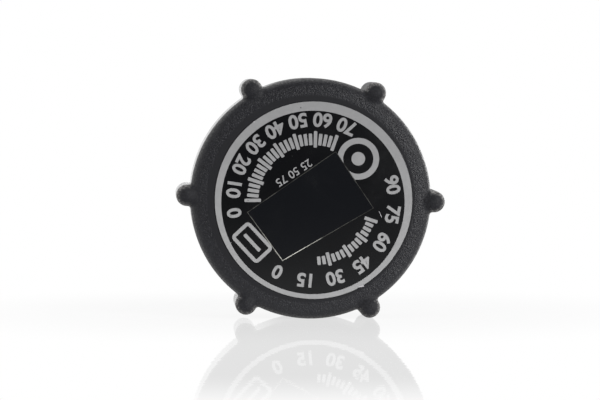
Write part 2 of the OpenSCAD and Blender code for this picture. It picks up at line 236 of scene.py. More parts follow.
def useGroup(tree, group, vector, **inputs):
    node = put(tree, "ShaderNodeGroup", node_tree=group)
    wire(tree, vector, node.inputs["Vector"])
    for key, value in inputs.items():
        node.inputs[key].default_value = value
    return node.outputs


def maskOf(tree, group, place, values):
    return useGroup(tree, group, place, **values)["Mask"]


def startMaterial(name, colour, rough=0.5, metallic=0.0, specular=0.5):
    material = bpy.data.materials.new(name)
    material.use_nodes = True
    material.diffuse_color = (*colour, 1)
    tree = material.node_tree
    shader = tree.nodes["Principled BSDF"]
    wire(tree, colour, shader.inputs["Base Color"])
    wire(tree, rough, shader.inputs["Roughness"])
    wire(tree, metallic, shader.inputs["Metallic"])
    wire(tree, specular, shader.inputs["Specular IOR Level"])
    place = put(tree, "ShaderNodeTexCoord").outputs["Object"]
    return material, tree, shader, place


def varied(tree, shader, mask, first, second, rough=None):  # lets colour and roughness follow a mask
    wire(tree, blended(tree, mask, first, second), shader.inputs["Base Color"])
    if rough:
        wire(tree, stretch(tree, mask, 0.0, 1.0, *rough), shader.inputs["Roughness"])


def bumped(tree, shader, height, distance):
    node = put(tree, "ShaderNodeBump", inputs={"Strength": 1.0, "Distance": distance})
    wire(tree, height, node.inputs["Height"])
    wire(tree, node.outputs["Normal"], shader.inputs["Normal"])


# Effects that several finishes share

def makeGrain():  # the fine leathery bumps that a spark-eroded mould leaves, and pale flecks on their tops that are painted highlights
    values = dict(warpScale=0.35, warpReach=0.4 * mm, melt=0.7, fineScale=1.7, domes=0.5, fine=0.7,
                  fleckHighlight=(0.5, 0.85))
    group, given, made = newGroup("spark_grain", ["Height", "FleckHighlight"], Scale=2000.0)
    warpScale = times(group, given["Scale"], values["warpScale"])
    warp = noise(group, given["Vector"], warpScale, detail=1.0, output="Color")
    shift = put(group, "ShaderNodeVectorMath", operation="MULTIPLY_ADD",
                inputs={1: (values["warpReach"],) * 3})
    wire(group, warp, shift.inputs[0])
    wire(group, given["Vector"], shift.inputs[2])
    cells = put(group, "ShaderNodeTexVoronoi", feature="SMOOTH_F1", inputs={"Smoothness": values["melt"]})
    wire(group, shift.outputs[0], cells.inputs["Vector"])
    wire(group, given["Scale"], cells.inputs["Scale"])
    fineScale = times(group, given["Scale"], values["fineScale"])
    fine = noise(group, given["Vector"], fineScale, detail=3.0, Roughness=0.65)
    domes = math2(group, "SUBTRACT", 1.0, cells.outputs["Distance"])
    both = math2(group, "ADD", times(group, domes, values["domes"]), times(group, fine, values["fine"]))
    wire(group, both, made["Height"])
    wire(group, stretch(group, both, *values["fleckHighlight"]), made["FleckHighlight"])
    return group


def makeMarks():  # soft uneven patches left by handling
    group, given, made = newGroup("handling_marks", ["Mask"], Scale=120.0, Low=0.45, High=0.7)
    patches = noise(group, given["Vector"], given["Scale"], detail=5.0, Roughness=0.6, Distortion=0.4)
    wire(group, stretch(group, patches, given["Low"], given["High"]), made["Mask"])
    return group


def makeSpecks():  # dust and pinholes
    group, given, made = newGroup("specks", ["Mask"], Scale=900.0, Size=0.12, Share=0.1)
    cells = put(group, "ShaderNodeTexVoronoi")
    wire(group, given["Vector"], cells.inputs["Vector"])
    wire(group, given["Scale"], cells.inputs["Scale"])
    lot = put(group, "ShaderNodeSeparateColor")
    wire(group, cells.outputs["Color"], lot.inputs[0])
    near = math2(group, "LESS_THAN", cells.outputs["Distance"], given["Size"])
    picked = math2(group, "LESS_THAN", lot.outputs[0], given["Share"])
    wire(group, times(group, near, picked), made["Mask"])
    return group


def makeRounds():  # faint rings round the axis, as turning and pressing leave them
    group, given, made = newGroup("turned_rings", ["Height"], Scale=3000.0)
    radius = axisRadius(group, given["Vector"])[0]
    line = put(group, "ShaderNodeTexNoise", noise_dimensions="1D", inputs={"Detail": 4.0, "Roughness": 0.7})
    wire(group, radius, line.inputs["W"])
    wire(group, given["Scale"], line.inputs["Scale"])
    wire(group, line.outputs["Fac"], made["Height"])
    return group


grain, marks, specks, rounds = makeGrain(), makeMarks(), makeSpecks(), makeRounds()


# Finishes. A pair of places is where an effect starts and is full, and rough is the roughness or its range.

capLook = dict(
    colour=(0.0092, 0.0093, 0.0126), pale=(0.033, 0.034, 0.042), dusty=(0.16, 0.16, 0.15),
    sheenAndScuff=(0.72, 0.7, 0.68), specular=0.42,
    cell=1 / (0.5 * mm), depth=0.2 * mm, middle=0.7, fleckHighlight=0.45,  # grain: its scale, bump, and pale tops that are painted highlights
    grainFrom=(25.4 * mm, 26.2 * mm), grainTo=(29.4 * mm, 30.4 * mm), wallGrain=0.25,
    nose=(2.2 * mm, 4.0 * mm), noseGrain=0.85, noseRough=(0.62, 0.3), faceRough=(0.2, 0.9, 0.64, 0.38),
    sides=(-21.5 * mm, -19 * mm), polished=(-15 * mm, -5 * mm, 0.1, 0.5),  # fingers have rubbed the left side
    noseRim=(1.5 * mm, 2.9 * mm), beyond=(29.6 * mm, 30.6 * mm), noseShare=0.9,  # painted sheen and wear, by place
    edgeRim=(28.9 * mm, 30.0 * mm), edgeShare=0.16, besideLug=(2.5 * mm, 3.5 * mm),
    ridge=(32.8 * mm, 33.5 * mm), ridgeShare=0.2, front=(-22.5 * mm, -19.5 * mm),
    wornTops=(0.55, 0.85, 0.15, 1.1),
    handled=dict(Scale=160.0, Low=0.42, High=0.72), handledShare=0.06,
    dust=dict(Scale=500.0, Size=0.09, Share=0.05), dustShare=0.5,
)


def lugDistance(tree, radius, parts):  # how far a place lies from the middle line of the nearest lug
    turn = math2(tree, "ARCTAN2", parts["Z"], parts["X"])
    shifted = math2(tree, "SUBTRACT", turn, math.radians(lug["first"]))
    folded = math2(tree, "PINGPONG", shifted, math.pi / lug["count"])
    along = times(tree, radius, math2(tree, "COSINE", folded))
    aside = times(tree, radius, math2(tree, "SINE", folded))
    return flatLength(tree, math2(tree, "SUBTRACT", along, lug["place"] * mm), aside)


def capWearAndSheen(tree, radius, fromLug, y, bumps):  # how pale the nose rims, the ridges and the round edge are: painted sheen standing in for grazing reflection on the nose rims and the round edge in front, and rubbed wear on the ridges
    look = capLook
    noseSheen = times(tree, stretch(tree, fromLug, *look["noseRim"], 0.0, look["noseShare"]),
                  stretch(tree, radius, *look["beyond"]))
    edges = times(tree, stretch(tree, radius, *look["edgeRim"], 0.0, look["edgeShare"]),
                  stretch(tree, fromLug, *look["besideLug"]))
    ahead = stretch(tree, y, *look["front"], 1.0, 0.0)
    frontSheen = times(tree, math2(tree, "MAXIMUM", noseSheen, edges), ahead)
    ridges = times(tree, stretch(tree, radius, *look["ridge"], 0.0, look["ridgeShare"]),
                   math2(tree, "SUBTRACT", 1.0, ahead))
    sheenAndWear = math2(tree, "MAXIMUM", frontSheen, ridges)
    return times(tree, sheenAndWear, stretch(tree, bumps, *look["wornTops"]))


def capPlastic():
    look = capLook
    material, tree, shader, place = startMaterial("cap_plastic", look["colour"], specular=look["specular"])
    radius, parts = axisRadius(tree, place)
    fromLug = lugDistance(tree, radius, parts)
    bumps = useGroup(tree, grain, place, Scale=look["cell"])
    onFace = stretch(tree, radius, *look["grainTo"], 1.0, look["wallGrain"])
    onLug = stretch(tree, fromLug, *look["nose"], 1.0, 0.0)
    grained = times(tree, stretch(tree, radius, *look["grainFrom"]), math2(tree, "MAXIMUM", onFace, onLug),
                    stretch(tree, fromLug, *look["nose"], look["noseGrain"], 1.0))
    height = times(tree, math2(tree, "SUBTRACT", bumps["Height"], look["middle"]), grained)
    # painted highlights: the grain's bump tops are paler
    fleckHighlight = times(tree, bumps["FleckHighlight"], grained, look["fleckHighlight"])
    # pale rims: painted sheen on the nose rims and the round edge in front, and rubbed wear on the ridges
    worn = capWearAndSheen(tree, radius, fromLug, parts["Y"], bumps["Height"])
    dust = times(tree, maskOf(tree, specks, place, look["dust"]), look["dustShare"])
    tone = blended(tree, fleckHighlight, look["colour"], look["pale"])
    tone = blended(tree, worn, tone, look["sheenAndScuff"])
    varied(tree, shader, dust, tone, look["dusty"])
    face = math2(tree, "MAXIMUM", stretch(tree, grained, *look["faceRough"]),
                 stretch(tree, fromLug, *look["nose"], *look["noseRough"]))
    wall = stretch(tree, parts["X"], *look["polished"])
    behind = stretch(tree, parts["Y"], *look["sides"])
    rough = math2(tree, "ADD", times(tree, behind, wall),
                  times(tree, math2(tree, "SUBTRACT", 1.0, behind), face))
    handled = maskOf(tree, marks, place, look["handled"])
    rough = math2(tree, "SUBTRACT", rough, times(tree, handled, look["handledShare"]))
    wire(tree, rough, shader.inputs["Roughness"])
    bumped(tree, shader, height, look["depth"])
    return material


filmLook = dict(
    colour=(0.0042, 0.0045, 0.0055), dusty=(0.1, 0.1, 0.1), specular=0.35, rough=(0.22, 0.3),
    handled=dict(Scale=90.0, Low=0.4, High=0.75), dust=dict(Scale=420.0, Size=0.05, Share=0.06),
    dustShare=0.4, peel=1600.0, peelDepth=0.004 * mm,
)


def labelFilm():
    look = filmLook
    material, tree, shader, place = startMaterial("label_film", look["colour"], specular=look["specular"])
    handled = maskOf(tree, marks, place, look["handled"])
    dust = times(tree, maskOf(tree, specks, place, look["dust"]), look["dustShare"])
    varied(tree, shader, dust, look["colour"], look["dusty"])
    wire(tree, stretch(tree, handled, 0.0, 1.0, *look["rough"]), shader.inputs["Roughness"])
    bumped(tree, shader, noise(tree, place, look["peel"]), look["peelDepth"])
    return material


inkLook = dict(
    colour=(0.42, 0.42, 0.425), pale=(0.47, 0.47, 0.475), paintedShade=(0.2, 0.2, 0.205), bare=(0.08, 0.08, 0.08),
    rough=0.4, thin=dict(Scale=600.0, Low=0.35, High=0.75), fade=(-24 * mm, 24 * mm, 0.0, 0.48),
    holes=dict(Scale=700.0, Size=0.11, Share=0.05), holeShare=0.55, surface=4000.0, surfaceDepth=0.006 * mm,
)


def labelInk():
    look = inkLook
    material, tree, shader, place = startMaterial("label_ink", look["colour"], look["rough"])
    thin = maskOf(tree, marks, place, look["thin"])
    # painted shade: the ink is darker towards the label's top and paler towards its bottom
    fade = stretch(tree, partsOf(tree, place)["Z"], *look["fade"])
    holes = times(tree, maskOf(tree, specks, place, look["holes"]), look["holeShare"])
    tone = blended(tree, thin, look["colour"], look["pale"])
    tone = blended(tree, fade, tone, look["paintedShade"])
    varied(tree, shader, holes, tone, look["bare"])
    bumped(tree, shader, noise(tree, place, look["surface"]), look["surfaceDepth"])
    return material


chipLook = dict(colour=(0.8, 0.78, 0.82), dull=(0.5, 0.48, 0.5), rough=0.45,
                worn=dict(Scale=1500.0, Low=0.4, High=0.7))


def chippedFilm():
    look = chipLook
    material, tree, shader, place = startMaterial("chipped_film", look["colour"], look["rough"])
    varied(tree, shader, maskOf(tree, marks, place, look["worn"]), look["colour"], look["dull"])
    return material


tapeLook = dict(colour=(0.0056, 0.0064, 0.0085), specular=0.35, rough=(0.2, 0.34),
                handled=dict(Scale=70.0, Low=0.4, High=0.8), slack=180.0, slackDepth=0.02 * mm)


def patchTape():
    look = tapeLook
    material, tree, shader, place = startMaterial("patch_tape", look["colour"], specular=look["specular"])
    handled = maskOf(tree, marks, place, look["handled"])
    wire(tree, stretch(tree, handled, 0.0, 1.0, *look["rough"]), shader.inputs["Roughness"])
    bumped(tree, shader, noise(tree, place, look["slack"]), look["slackDepth"])
    return material


glintLook = dict(dark=(0.014, 0.014, 0.012), pale=(0.8, 0.79, 0.72), rough=0.4, fade=(0.5 * mm, 16 * mm),
               least=0.07, whole=0.35, broken=dict(Scale=320.0, Low=0.38, High=0.62))


def cutEdge(corner):  # the tape's cut edge with a painted glint, palest at one corner and broken into dashes away from it
    look = glintLook
    material, tree, shader, place = startMaterial("tape_edge_glint", look["pale"], look["rough"])
    away = put(tree, "ShaderNodeVectorMath", operation="DISTANCE", inputs={1: corner})
    wire(tree, place, away.inputs[0])
    away = away.outputs["Value"]
    broken = maskOf(tree, marks, place, look["broken"])
    broken = times(tree, stretch(tree, away, *look["fade"], 1.0, look["least"]), broken)
    whole = stretch(tree, away, *look["fade"], look["whole"], 0.0)
    varied(tree, shader, math2(tree, "ADD", broken, whole, clamp=True), look["dark"], look["pale"])
    return material


nylonLook = dict(colour=(0.024, 0.024, 0.026), pale=(0.034, 0.034, 0.036), rough=(0.36, 0.5),
                 handled=dict(Scale=220.0, Low=0.45, High=0.7), rings=2500.0, ringDepth=0.01 * mm)


def mouldedNylon():
    look = nylonLook
    material, tree, shader, place = startMaterial("housing_plastic", look["colour"])
    handled = maskOf(tree, marks, place, look["handled"])
    varied(tree, shader, handled, look["colour"], look["pale"], look["rough"])
    bumped(tree, shader, useGroup(tree, rounds, place, Scale=look["rings"])["Height"], look["ringDepth"])
    return material


rubberLook = dict(bloom=dict(Scale=260.0, Low=0.4, High=0.8), paler=1.9, rougher=0.12, skin=3500.0,
                  skinDetail=3.0, skinDepth=0.008 * mm)


def rubber(name, colour, roughness):
    look = rubberLook
    material, tree, shader, place = startMaterial(name, colour)
    bloom = maskOf(tree, marks, place, look["bloom"])
    pale = tuple(c * look["paler"] for c in colour)
    varied(tree, shader, bloom, colour, pale, (roughness, roughness + look["rougher"]))
    bumped(tree, shader, noise(tree, place, look["skin"], look["skinDetail"]), look["skinDepth"])
    return material


steelLook = dict(colour=(0.6, 0.61, 0.63), stain=(0.42, 0.41, 0.4), drawn=2600.0, drawnDetail=3.0,
                 stained=dict(Scale=420.0, Low=0.5, High=0.8), rough=(0.3, 0.7, 0.2, 0.36), depth=0.004 * mm)


def springSteel():
    look = steelLook
    material, tree, shader, place = startMaterial("spring_steel", look["colour"], metallic=1.0)
    stained = maskOf(tree, marks, place, look["stained"])
    varied(tree, shader, stained, look["colour"], look["stain"])
    drawnMarks = noise(tree, place, look["drawn"], look["drawnDetail"])
    wire(tree, stretch(tree, drawnMarks, *look["rough"]), shader.inputs["Roughness"])
    bumped(tree, shader, drawnMarks, look["depth"])
    return material


brassLook = dict(colour=(0.76, 0.55, 0.25), tarnish=(0.46, 0.3, 0.12), rough=(0.22, 0.42),
                 tarnished=dict(Scale=240.0, Low=0.42, High=0.75), rings=4200.0, ringDepth=0.008 * mm)


def valveBrass():
    look = brassLook
    material, tree, shader, place = startMaterial("valve_brass", look["colour"], metallic=1.0)
    tarnished = maskOf(tree, marks, place, look["tarnished"])
    varied(tree, shader, tarnished, look["colour"], look["tarnish"], look["rough"])
    bumped(tree, shader, useGroup(tree, rounds, place, Scale=look["rings"])["Height"], look["ringDepth"])
    return material


filmFinish, inkFinish, tapeFinish = labelFilm(), labelInk(), patchTape()
nylonFinish, steelFinish, brassFinish = mouldedNylon(), springSteel(), valveBrass()
chippedFinish = chippedFilm()
ringFinish = rubber("ring_rubber", (0.014, 0.014, 0.015), 0.45)
sealFinish = rubber("seal_rubber", (0.02, 0.02, 0.02), 0.65)
print("finishes made:", len(bpy.data.materials))


# Inner pieces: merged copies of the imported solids, with their sharp edges softened

innerPieces = dict(  # finish, and width of the softened edge
    valve_housing=(nylonFinish, 0.2 * mm),
    spring_plate=(nylonFinish, 0.15 * mm),
    pressure_plate=(brassFinish, 0.12 * mm),
    vacuum_disc=(brassFinish, 0.15 * mm),
    seal_eyelet=(brassFinish, 0.06 * mm),
    vacuum_stem=(brassFinish, 0.1 * mm),
    vacuum_keeper=(brassFinish, 0.06 * mm),
    seal_washer=(brassFinish, 0.05 * mm),
    pressure_seal=(sealFinish, 0.15 * mm),
)
softening = dict(flat=0.8, sharp=35, shaded=40)
bodyOf = {node: body for body, nodes in frame["record"]["behaviour"]["bodies"].items() for node in nodes}


def softened(nodeName, finish, width):
    piece = bpy.data.objects.new("finished_" + nodeName, frame["nodes"][nodeName].data.copy())
    bpy.context.scene.collection.objects.link(piece)
    editAll(piece)
    bpy.ops.mesh.remove_doubles(threshold=touching)
    bpy.ops.mesh.dissolve_limited(angle_limit=math.radians(softening["flat"]))
    endEdit()
    modify(piece, "BEVEL", width=width, segments=2, limit_method="ANGLE",
           angle_limit=math.radians(softening["sharp"]), use_clamp_overlap=False)
    modify(smooth(piece, softening["shaded"]), "WEIGHTED_NORMAL", keep_sharp=True)
    dress(piece, finish, bodyOf[nodeName])
    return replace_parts(piece, nodeName)


for nodeName, values in innerPieces.items():
    softened(nodeName, *values)
dress(frame["nodes"]["neck_ring"], ringFinish)
print("inner pieces softened:", len(innerPieces))


# Grip cap: one outline spun round the axis, with lugs raised out of it and the inner features joined on.
# Its values are in millimetres, and its outline is in pairs of radius and height above the open mouth.

grip = dict(
    face=23.55, faceR=26.2, edgeMid=(27.4, 20.668), edgeR=2.6, edgeFrom=79, edgeStep=3,  # face and round edge
    wallR=30.0, wallRows=(15, 8, 2), rim=0.5, innerR=27.8, roof=21.5,
    skirtR=25.2, mouthR=23.4, mouthL=3.0, mouthStep=0.4, rootR=23.0, ringIn=13.35, ringOut=15.5, ringH=0.6,
    columns=48, lugColumns=10, crowding=2.2, pole=1.0, inside=1.0, slack=0.01,  # columns are counted per lug
)
lug = dict(
    count=6, first=-61.55, place=30.85, r=2.65, top=23.9, noseR=2.4,
    blendLow=0.5, blendHigh=1.2, blendFrom=18, blendTo=22, reach=5.0, step=0.05, halvings=16,
)
thread = dict(depth=1.3, root=2.4, crest=1.1, pitch=4.0, turns=2.2, low=5.0, steps=72, fade=8, sink=0.3,
              under=0.1)
web = dict(count=12, t=1.2, low=2.0, sink=0.2, edge=0.25)
clip = dict(sweep=34, inR=16.75, outR=18.35, hookR=15.85, low=18.2, mid=18.75, top=19.3, sink=0.2, steps=12)


def eased(corners, steps=4):  # rounds each corner that has a third number, its cut, with a soft curve
    line = []
    for i, (r, h, *cut) in enumerate(corners):
        here = Vector((r, h))
        if not cut:
            line.append(here)
            continue
        start, end = (here + cut[0] * (Vector(corners[j][:2]) - here).normalized()
                      for j in (i - 1, (i + 1) % len(corners)))
        for s in range(steps + 1):
            t = s / steps
            line.append(start.lerp(here, t).lerp(here.lerp(end, t), t))
    return line


def drawn(name, line, closed=False):  # draws an outline of radius and height in the X-Y plane
    places = [Vector((point.x, -point.y, 0)) * mm for point in line]
    bpy.ops.mesh.primitive_plane_add(size=1)
    shape = newest(name)
    editAll(shape)
    bpy.ops.mesh.merge(type="CENTER")
    bpy.ops.transform.translate(value=places[0])
    for before, after in zip(places, places[1:]):
        bpy.ops.mesh.extrude_vertices_move(TRANSFORM_OT_translate={"value": after - before})
    if closed:
        bpy.ops.mesh.select_all(action="SELECT")
        bpy.ops.mesh.edge_face_add()
    endEdit()
    return shape


def turnedTo(obj, angle):
    obj.data.transform(Matrix.Rotation(-math.radians(angle), 4, "Y"))
    return obj


def onCap(r, h, a):  # place at a radius, height and angle, the angle in radians
    return Vector((r * math.cos(a), -h, r * math.sin(a))) * mm


def gripOutline():
    (midR, midH), edgeR = grip["edgeMid"], grip["edgeR"]
    angles = [math.radians(angle) for angle in range(grip["edgeFrom"], -1, -grip["edgeStep"])]
    edge = [(midR + edgeR * math.cos(a), midH + edgeR * math.sin(a)) for a in angles]
    wall = [(grip["wallR"], row) for row in grip["wallRows"]]
    roof, ringFace = grip["roof"], grip["roof"] - grip["ringH"]
    return eased([
        (0, grip["face"]), (grip["faceR"], grip["face"], 0.6), *edge, *wall, (grip["wallR"], 0, grip["rim"]),
        (grip["innerR"], 0, 0.3), (grip["innerR"], roof, 0.6), (grip["skirtR"], roof, 0.6),
        (grip["skirtR"], 0, 0.4), (grip["mouthR"], 0, 0.35), (grip["mouthR"], grip["mouthL"], 0.1),
        (grip["rootR"], grip["mouthL"] + grip["mouthStep"], 0.1), (grip["rootR"], roof, 0.5),
        (grip["ringOut"], roof, 0.15), (grip["ringOut"], ringFace, 0.15),
        (grip["ringIn"], ringFace, 0.15), (grip["ringIn"], roof, 0.15), (0, roof),
    ])


def columnAngle(column):  # columns crowd together at the lugs' sides
    half = grip["columns"] // 2
    period, place = divmod(column, grip["columns"])
    step = min(place, grip["columns"] - place)
    flank = math.degrees(math.asin(lug["r"] / lug["place"]))
    if step <= grip["lugColumns"]:
        angle = flank * math.sin(math.pi / 2 * step / grip["lugColumns"])
    else:
        part = (step - grip["lugColumns"]) / (half - grip["lugColumns"])
        angle = flank + (180 / lug["count"] - flank) * part ** grip["crowding"]
    if place > half:
        angle = 360 / lug["count"] - angle
    return lug["first"] + period * 360 / lug["count"] + angle


def lugGap(r, h, angle):  # distance from a place to the nearest lug's surface
    apart = math.hypot(r * math.cos(angle) - lug["place"], r * math.sin(angle))
    bevel = max(0.0, grip["rim"] - h)
    size = lug["r"] - grip["rim"] + math.sqrt(max(0.0, grip["rim"] ** 2 - bevel ** 2))
    across, up = apart - size + lug["noseR"], h - lug["top"] + lug["noseR"]
    return math.hypot(max(across, 0.0), max(up, 0.0)) + min(max(across, up), 0.0) - lug["noseR"]


def lugRise(r, h, out, angle):  # how far a place on the wall moves out to lie on the lug or its soft blend
    upper = min(1.0, max(0.0, (h - lug["blendFrom"]) / (lug["blendTo"] - lug["blendFrom"])))
    blend = lug["blendLow"] + (lug["blendHigh"] - lug["blendLow"]) * upper

    def left(rise):
        gap = lugGap(r + rise * out[0], h + rise * out[1], angle)
        near = max(blend - abs(rise - gap), 0.0) / blend
        return min(rise, gap) - near * near * blend / 4

    high = lug["reach"]
    while high > 0 and left(high) > 0:
        high -= lug["step"]
    if high <= 0:
        return 0.0
    low, high = high, high + lug["step"]
    for _ in range(lug["halvings"]):
        middle = (low + high) / 2
        if left(middle) > 0:
            high = middle
        else:
            low = middle
    return low


def wayOut(r, h):  # the way in which a place on the round edge or the wall moves out
    midR, midH = grip["edgeMid"]
    if r > grip["faceR"] - grip["inside"] and h > midH:
        return Vector((max(0.0, r - midR), h - midH)).normalized()
    if r > grip["wallR"] - grip["rim"] - grip["slack"]:
        return Vector((1, 0))
    return None


def raiseLugs(body):
    known = {}
    columns, period = lug["count"] * grip["columns"], 360 / lug["count"]
    for vertex in body.data.vertices:
        r, h = math.hypot(vertex.co.x, vertex.co.z) / mm, -vertex.co.y / mm
        if r < grip["pole"]:
            continue
        column = round(math.degrees(math.atan2(vertex.co.z, vertex.co.x)) * columns / 360) % columns
        angle = columnAngle(column)
        out = wayOut(r, h)
        if out:
            aside = abs((angle - lug["first"] + period / 2) % period - period / 2)
            key = (round(r, 3), round(h, 3), round(aside, 3))
            if key not in known:
                known[key] = lugRise(r, h, out, math.radians(aside))
            r, h = r + known[key] * out[0], h + known[key] * out[1]
        vertex.co = onCap(r, h, math.radians(angle))


def threadRidge():
    wide, thin = thread["root"] / 2, thread["crest"] / 2
    rootR, crestR = grip["rootR"] + thread["sink"], grip["rootR"] - thread["depth"]
    section = eased([(rootR, wide), (crestR, thin, 0.2), (crestR, -thin, 0.2), (rootR, -wide)])
    ridge = drawn("thread_ridge", section, closed=True)
    editAll(ridge)
    bpy.ops.mesh.delete(type="ONLY_FACE")
    endEdit()
    rings = round(thread["turns"] * thread["steps"])
    apart = 10.0  # the rings start well apart along Y, so that each point's ring is known
    modify(ridge, "SCREW", axis="Y", angle=2 * math.pi * thread["turns"], steps=rings,
           render_steps=rings, screw_offset=-apart * rings * mm)
    under = grip["rootR"] + thread["under"]  # the ridge's ends sink to here
    for vertex in ridge.data.vertices:
        ring = round(-vertex.co.y / mm / apart)
        r, h = math.hypot(vertex.co.x, vertex.co.z) / mm, -vertex.co.y / mm - ring * apart
        grown = min(1.0, ring / thread["fade"], (rings - ring) / thread["fade"])
        if r < grip["rootR"]:
            r = under - (under - r) * grown
        h += thread["low"] + thread["pitch"] * ring / thread["steps"]
        vertex.co = onCap(r, h, 2 * math.pi * ring / thread["steps"])
    editAll(ridge)
    bpy.ops.mesh.fill_holes(sides=0)
    endEdit()
    return outward(ridge)


def webPlate(angle):
    low, high = web["low"], grip["roof"] + web["sink"]
    near, far = grip["skirtR"] - web["sink"], grip["innerR"] + web["sink"]
    bpy.ops.mesh.primitive_cube_add(size=1, location=((near + far) / 2 * mm, -(low + high) / 2 * mm, 0))
    plate = newest("web")
    plate.scale = ((far - near) * mm, (high - low) * mm, web["t"] * mm)
    settle(plate)
    modify(plate, "BEVEL", width=web["edge"] * mm, segments=2)
    return turnedTo(plate, angle)


def clipFinger(angle):
    top = grip["roof"] + clip["sink"]
    finger = drawn("clip_finger", eased([
        (clip["inR"], top), (clip["outR"], top), (clip["outR"], clip["low"], 0.3),
        (clip["inR"], clip["low"], 0.2), (clip["hookR"], clip["mid"], 0.2),
        (clip["hookR"], clip["top"], 0.15), (clip["inR"], clip["top"]),
    ]), closed=True)
    sweep = math.radians(clip["sweep"])
    editAll(finger)
    bpy.ops.mesh.spin(steps=clip["steps"], angle=sweep, center=(0, 0, 0), axis=(0, 1, 0))
    endEdit()
    middle = sum((vertex.co for vertex in finger.data.vertices), Vector())
    return turnedTo(outward(finger), angle - math.degrees(math.atan2(middle.z, middle.x)))


def buildGrip():
    body = drawn("cap_body", gripOutline())
    columns = lug["count"] * grip["columns"]
    editAll(body)
    bpy.ops.mesh.spin(steps=columns, angle=2 * math.pi, center=(0, 0, 0), axis=(0, 1, 0))
    endEdit()
    outward(body)
    raiseLugs(body)
    outward(body)
    print("cap outline spun and lugs raised")
    parts = [threadRidge()]
    parts += [clipFinger(lug["first"] + 360 / lug["count"] * k) for k in range(lug["count"])]
    parts += [webPlate(lug["first"] + 360 / web["count"] * k) for k in range(web["count"])]
    inner = joined("cap_inner", parts)
    modify(body, "BOOLEAN", operation="UNION", object=inner, solver="EXACT")
    bpy.data.objects.remove(inner)
    return dress(smooth(outward(body), angle=40), capPlastic(), "cap")


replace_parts(buildGrip(), "grip_cap")
print("cap built")


# Label: a round black film with a rough edge at its lower right

label = dict(
    points=360, t=0.15 * mm, shift=(-0.17 * mm, 0.05 * mm), trim=0.15 * mm, hem=0.05 * mm,
    lip=0.06 * mm, rise=0.02 * mm,  # the film's edge is this wide and rises this far to its face
    roughFrom=-66, roughTo=-22, bite=0.18 * mm, evenBite=0.45, biteRun=3, biteFade=0.4, seed=11,
)
labelLow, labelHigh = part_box("label_disc")
labelX = (labelLow.x + labelHigh.x) / 2 + label["shift"][0]
labelZ = (labelLow.z + labelHigh.z) / 2 + label["shift"][1]
labelR = (labelHigh.x - labelLow.x) / 2 - label["trim"]
labelBack = labelHigh.y


def labelEdge():  # radius of the cut edge at each whole step of its angle
    draw = random.Random(label["seed"])
    steps = [draw.random() for _ in range(label["points"])]
    middle = (label["roughFrom"] + label["roughTo"]) / 2
    edge = []
    for i in range(label["points"]):
        angle = 360 * i / label["points"]
        turn = angle - 360 if angle > 180 else angle
        fade = max(0.0, 1 - abs(turn - middle) / (label["roughTo"] - middle)) ** label["biteFade"]
        ragged = label["evenBite"] + (1 - label["evenBite"]) * steps[i // label["biteRun"]]
        edge.append(labelR - label["hem"] - label["bite"] * fade * ragged)
    return edge


cutEdgeRadius = labelEdge()


def shapeRim(obj, extra=0.0):  # moves the rim of a flat round piece onto the label's cut edge
    for vertex in obj.data.vertices:
        x, z = vertex.co.x - labelX, vertex.co.z - labelZ
        angle = math.degrees(math.atan2(z, x)) % 360
        radius = cutEdgeRadius[round(angle * label["points"] / 360) % label["points"]] + extra
        scale = radius / math.hypot(x, z)
        vertex.co.x, vertex.co.z = labelX + x * scale, labelZ + z * scale


def buildFilm():
    bpy.ops.mesh.primitive_circle_add(vertices=label["points"], radius=labelR, fill_type="NGON",
                                      location=(labelX, labelBack, labelZ), rotation=facing)
    film = settle(newest("label_film"))
    shapeRim(film)
    editAll(film)
    bpy.ops.mesh.extrude_region_move(TRANSFORM_OT_translate={"value": (0, -label["t"], 0)})
    bpy.ops.mesh.inset(thickness=label["lip"])
    bpy.ops.transform.translate(value=(0, -label["rise"], 0))
    endEdit()
    return dress(smooth(outward(film)), filmFinish, "cap")


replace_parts(buildFilm(), "label_disc")


# Print on the label: a ring at the edge, and a plain dial of numbers, bars and shapes

ink = dict(t=0.02 * mm, ringIn=22.82 * mm, ringShift=(-0.16 * mm, -0.55 * mm), hem=0.1 * mm,
           corner=0.2 * mm, digit=0.73)  # digit is a digit's height as a share of the letters' size
inkFace = labelBack - label["t"] - label["rise"]


def inkDepth(obj):
    modify(obj, "SOLIDIFY", thickness=ink["t"], offset=0.0)
    return outward(obj)


def printed(obj):
    return dress(obj, inkFinish, "cap")


def between(name, outerLoop, innerLoop):  # fills the flat band between two loops
    band = joined(name, [outerLoop, innerLoop])
    editAll(band)
    bpy.ops.mesh.bridge_edge_loops()
    endEdit()
    return inkDepth(band)


def loop(points, radius, place=(0, 0, 0)):
    bpy.ops.mesh.primitive_circle_add(vertices=points, radius=radius, location=place, rotation=facing)
    return settle(newest("loop"))


def buildRing():
    outerLoop = loop(label["points"], labelR, (labelX, inkFace, labelZ))
    shapeRim(outerLoop, -ink["hem"])
    middle = (labelX + ink["ringShift"][0], inkFace, labelZ + ink["ringShift"][1])
    innerLoop = loop(label["points"], ink["ringIn"], middle)
    return printed(between("label_ring", outerLoop, innerLoop))


def atLabel(radius, angle, turn):  # place of a mark on the label, turned to stand along the radius
    a = math.radians(angle)
    place = Vector((labelX + radius * math.cos(a), inkFace, labelZ + radius * math.sin(a)))
    return Matrix.Translation(place) @ Matrix.Rotation(-math.radians(angle - 90 + turn), 4, "Y")


def lay(part, mark, lift=0.0):  # lays a part at its mark's distance right of and above the label's middle
    place = Vector((labelX + mark["x"], inkFace - lift, labelZ + mark["z"]))
    part.data.transform(Matrix.Translation(place) @ Matrix.Rotation(-math.radians(mark["turn"]), 4, "Y"))
    return part


def plank(width, length, corner):
    bpy.ops.mesh.primitive_plane_add(size=1, rotation=facing)
    shape = newest("bar")
    shape.scale = (width, length, 1)
    settle(shape)
    editAll(shape)
    bpy.ops.mesh.bevel(offset=corner, segments=4, affect="VERTICES")
    endEdit()
    return shape


def bar(width, length, corner):
    return inkDepth(plank(width, length, corner))


